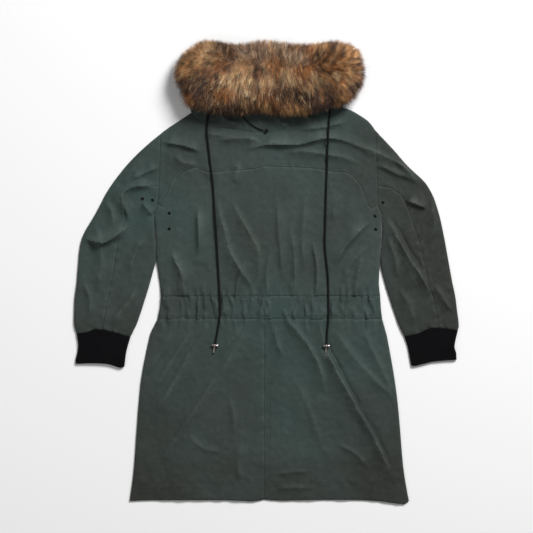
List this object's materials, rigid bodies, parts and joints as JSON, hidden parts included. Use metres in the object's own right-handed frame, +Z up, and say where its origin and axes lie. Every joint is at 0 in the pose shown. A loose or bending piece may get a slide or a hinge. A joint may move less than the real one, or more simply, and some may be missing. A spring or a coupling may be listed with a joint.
{
  "type": "fur trimmed parka",
  "caption": "Hooded cotton parka with a fur ruff, drawn waist casing, knitted cuffs and long hood cords, laid flat with its back up.",
  "frame": {"origin": "on the ground at the middle of the coat's bounding box, laid flat with its back up", "axes": "+X to the wearer's right as the back is seen, +Y from the hem to the hood, +Z up, out of the back"},
  "size_m": [0.9619, 1.1638, 0.0859],
  "materials": {
    "shell": "washed garment-dyed cotton, dark green, matte with a faint sheen",
    "rib": "black ribbed knit",
    "fur": "long brown fur with dark bands and pale guard hairs",
    "cord": "black braided round cord",
    "cord_metal": "polished nickel",
    "eyelet_metal": "dark oxidised metal"
  },
  "bodies": {
    "root": {"back_yoke": "shell", "back_panel": "shell", "waist_casing": "shell", "skirt_back_left": "shell", "skirt_back_right": "shell", "front_left": "shell", "front_right": "shell", "front_placket": "shell", "sleeve_left_outer": "shell", "sleeve_left_inner": "shell", "sleeve_right_outer": "shell", "sleeve_right_inner": "shell", "hood_left": "shell", "hood_middle": "shell", "hood_right": "shell", "cuff_left": "rib", "cuff_right": "rib", "fur_ruff": "fur", "cord_left": "cord", "cord_right": "cord", "hood_adjuster_cord": "cord", "cord_lock_left": "cord_metal", "cord_lock_right": "cord_metal", "cord_tip_left": "cord_metal", "cord_tip_right": "cord_metal", "hood_adjuster_stop": "eyelet_metal", "eyelet_left_1": "eyelet_metal", "eyelet_left_2": "eyelet_metal", "eyelet_left_3": "eyelet_metal", "eyelet_left_4": "eyelet_metal", "eyelet_right_1": "eyelet_metal", "eyelet_right_2": "eyelet_metal", "eyelet_right_3": "eyelet_metal"}
  },
  "joints": []
}
